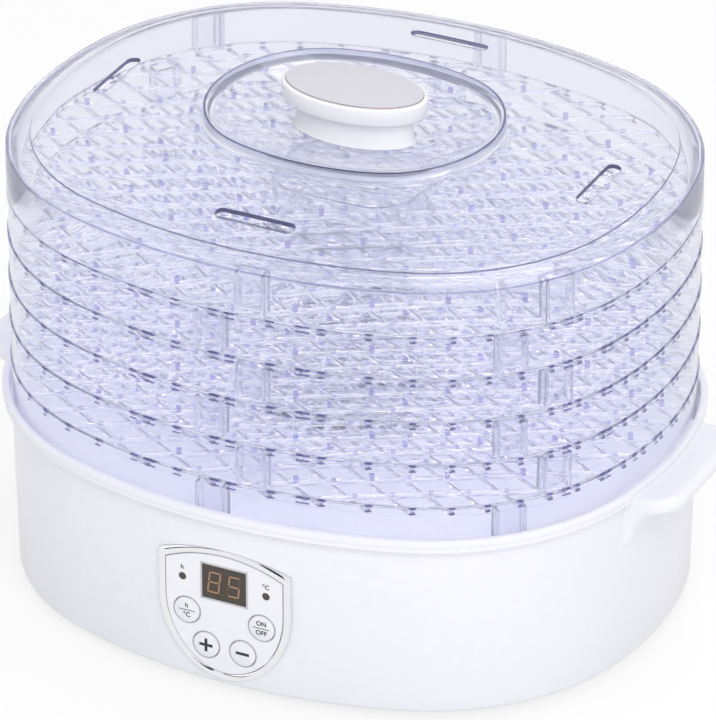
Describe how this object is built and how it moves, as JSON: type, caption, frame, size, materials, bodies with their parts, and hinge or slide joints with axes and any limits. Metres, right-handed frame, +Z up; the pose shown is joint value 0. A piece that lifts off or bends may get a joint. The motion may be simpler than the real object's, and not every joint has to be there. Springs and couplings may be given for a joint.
{
  "type": "food dehydrator",
  "caption": "Oval food dehydrator: white fan-heater base with a control panel, stacking clear trays and a clear vented lid with a knob.",
  "frame": {"origin": "middle of the footprint, on the table under the feet", "axes": "+Z up, +X along the longer side through the two handles, the control panel faces -Y"},
  "size_m": [0.373, 0.289, 0.26],
  "materials": {
    "white_plastic": "smooth white moulded plastic",
    "clear_plastic": "clear moulded plastic with a faint lilac tint",
    "rubber": "soft pale rubber",
    "motor_steel": "laminated steel",
    "shaft_steel": "ground steel",
    "fan_plastic": "matt pale grey",
    "mica": "pressed mica board",
    "heater_wire": "resistance ribbon",
    "circuit_board": "green laminate",
    "grey_plastic": "pale grey",
    "bezel_chrome": "plated plastic",
    "panel_plastic": "white printed panel",
    "display_lens": "smoked lens",
    "display_dark": "dark display face",
    "lamp_lens": "unlit lamp",
    "black_plastic": "matt",
    "button_plastic": "white keycap"
  },
  "bodies": {
    "base": {"base_housing": "white_plastic", "base_deck": "white_plastic", "bottom_cover": "white_plastic", "rubber_feet": "rubber", "outlet_grille": "white_plastic", "fan_motor": "motor_steel", "motor_bracket": "motor_steel", "heater_frame": "mica", "heater_ribbon": "heater_wire", "thermal_cutout": "motor_steel", "power_board": "circuit_board", "cord_gland": "grey_plastic", "panel_bezel": "bezel_chrome", "panel_plate": "panel_plastic", "display_window": "display_lens", "control_board": "circuit_board", "display_module": "display_dark", "indicator_leds": "lamp_lens", "tact_switches": "black_plastic"},
    "tray_5": {"tray_5": "clear_plastic", "tray_5_floor": "clear_plastic"},
    "tray_4": {"tray_4": "clear_plastic", "tray_4_floor": "clear_plastic"},
    "tray_3": {"tray_3": "clear_plastic", "tray_3_floor": "clear_plastic"},
    "tray_2": {"tray_2": "clear_plastic", "tray_2_floor": "clear_plastic"},
    "tray_1": {"tray_1": "clear_plastic", "tray_1_floor": "clear_plastic"},
    "lid": {"lid": "clear_plastic", "lid_knob": "white_plastic", "knob_insert": "grey_plastic"},
    "fan": {"fan_impeller": "fan_plastic", "motor_shaft": "shaft_steel"},
    "button_mode": {"button_mode": "button_plastic"},
    "button_start": {"button_start": "button_plastic"},
    "button_plus": {"button_plus": "button_plastic"},
    "button_minus": {"button_minus": "button_plastic"}
  },
  "joints": [
    {"name": "tray_5_lift", "type": "slide", "parent": "base", "child": "tray_5", "axis": [0, 0, 1], "range_m": [0, 0.08]},
    {"name": "tray_4_lift", "type": "slide", "parent": "tray_5", "child": "tray_4", "axis": [0, 0, 1], "range_m": [0, 0.08]},
    {"name": "tray_3_lift", "type": "slide", "parent": "tray_4", "child": "tray_3", "axis": [0, 0, 1], "range_m": [0, 0.08]},
    {"name": "tray_2_lift", "type": "slide", "parent": "tray_3", "child": "tray_2", "axis": [0, 0, 1], "range_m": [0, 0.08]},
    {"name": "tray_1_lift", "type": "slide", "parent": "tray_2", "child": "tray_1", "axis": [0, 0, 1], "range_m": [0, 0.08]},
    {"name": "lid_lift", "type": "slide", "parent": "tray_1", "child": "lid", "axis": [0, 0, 1], "range_m": [0, 0.08]},
    {"name": "button_mode_press", "type": "slide", "parent": "base", "child": "button_mode", "axis": [0, 1, 0], "range_m": [0, 0.0008], "stiffness_N_per_m": 1500},
    {"name": "button_start_press", "type": "slide", "parent": "base", "child": "button_start", "axis": [0, 1, 0], "range_m": [0, 0.0008], "stiffness_N_per_m": 1500},
    {"name": "button_plus_press", "type": "slide", "parent": "base", "child": "button_plus", "axis": [0, 1, 0], "range_m": [0, 0.0008], "stiffness_N_per_m": 1500},
    {"name": "button_minus_press", "type": "slide", "parent": "base", "child": "button_minus", "axis": [0, 1, 0], "range_m": [0, 0.0008], "stiffness_N_per_m": 1500},
    {"name": "fan_spin", "type": "hinge", "parent": "base", "child": "fan", "pos_m": [0, 0, 0.0675], "axis": [0, 0, 1], "continuous": true}
  ]
}
